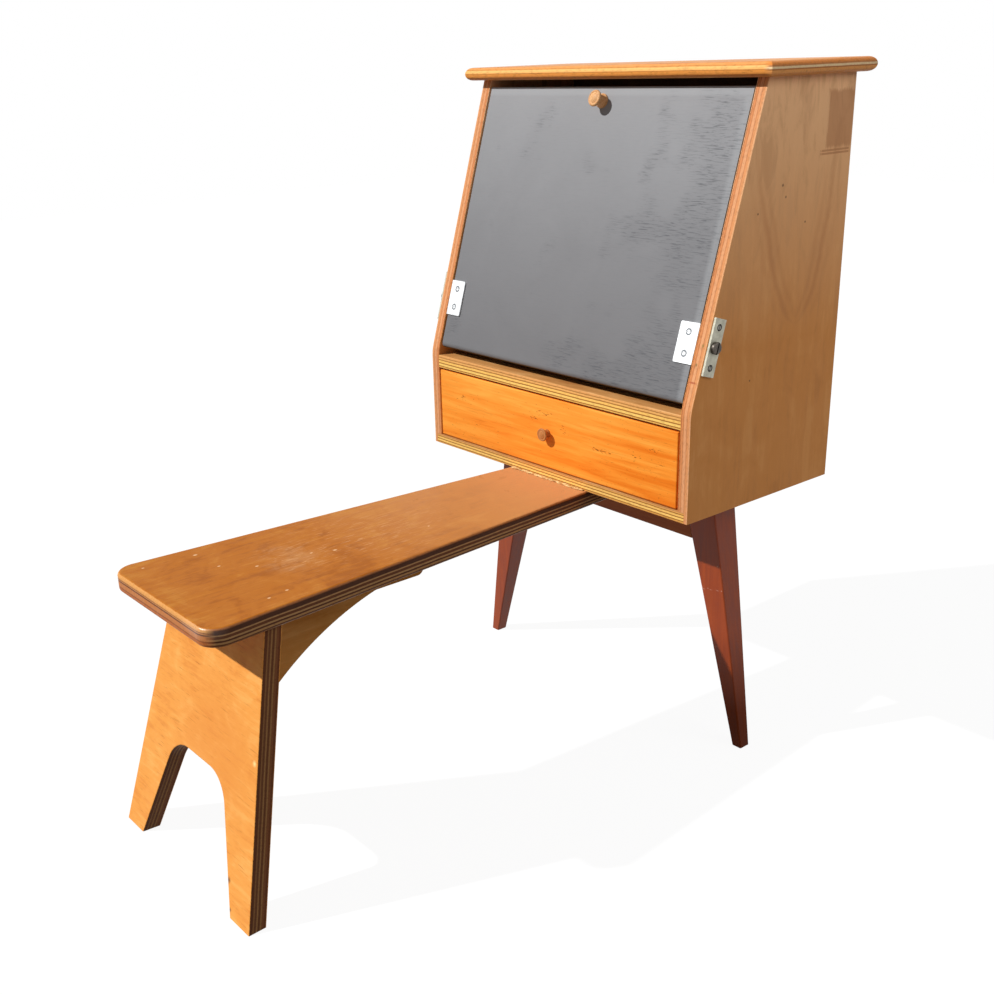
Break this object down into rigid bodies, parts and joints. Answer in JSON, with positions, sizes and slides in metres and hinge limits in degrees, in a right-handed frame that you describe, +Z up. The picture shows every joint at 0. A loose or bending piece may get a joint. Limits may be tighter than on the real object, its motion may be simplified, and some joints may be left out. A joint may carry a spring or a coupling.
{
  "type": "school desk with drop-front flap and joined bench",
  "caption": "School desk: plywood cabinet with a drop-front blackboard flap on side pivots and a drawer, on splayed legs, joined to a bench with an arched end leg.",
  "frame": {"origin": "on the floor, under the middle of the overall box", "axes": "+Z up, +Y from the bench towards the cabinet's back, +X to the right of someone facing the flap"},
  "size_m": [0.536, 0.894, 0.887],
  "materials": {
    "varnished_plywood": "satin varnish",
    "seat_plywood": "worn satin varnish",
    "end_leg_plywood": "worn satin varnish",
    "blackboard_paint": "matt blackboard paint on plywood",
    "pine": "satin varnish",
    "plain_softwood": "unfinished",
    "hardboard": "unfinished",
    "beech": "satin varnish",
    "brown_painted_wood": "satin paint",
    "zinc_plated_steel": "zinc plated",
    "dark_steel": "blackened"
  },
  "bodies": {
    "cabinet_and_bench": {"side_panel_right": "varnished_plywood", "side_panel_left": "varnished_plywood", "top_board": "varnished_plywood", "bottom_board": "varnished_plywood", "middle_shelf": "varnished_plywood", "back_panel": "hardboard", "back_nails": "dark_steel", "stop_cleat_right": "plain_softwood", "stop_cleat_left": "plain_softwood", "cleat_screws": "zinc_plated_steel", "pivot_plate_right": "zinc_plated_steel", "pivot_plate_left": "zinc_plated_steel", "plate_screws": "dark_steel", "pivot_bolt_right": "dark_steel", "pivot_bolt_left": "dark_steel", "leg_right": "brown_painted_wood", "leg_left": "brown_painted_wood", "leg_rail": "brown_painted_wood", "leg_screws": "zinc_plated_steel", "seat_board": "seat_plywood", "seat_screws": "zinc_plated_steel", "seat_end_leg": "end_leg_plywood", "seat_gusset": "varnished_plywood"},
    "flap": {"flap_board": "blackboard_paint", "flap_bracket_right": "zinc_plated_steel", "flap_bracket_left": "zinc_plated_steel", "bracket_screws": "zinc_plated_steel", "flap_knob": "beech", "flap_knob_screw": "zinc_plated_steel"},
    "drawer": {"drawer_front": "pine", "drawer_side_right": "plain_softwood", "drawer_side_left": "plain_softwood", "drawer_back": "plain_softwood", "drawer_bottom": "hardboard", "drawer_knob": "beech", "drawer_knob_screw": "zinc_plated_steel"}
  },
  "joints": [
    {"name": "flap_hinge", "type": "hinge", "parent": "cabinet_and_bench", "child": "flap", "pos_m": [0, 0.18607, 0.57231], "axis": [1, 0, 0], "range_deg": [0, 106.89]},
    {"name": "drawer_slide", "type": "slide", "parent": "cabinet_and_bench", "child": "drawer", "axis": [0, -1, 0], "range_m": [0, 0.2]}
  ]
}
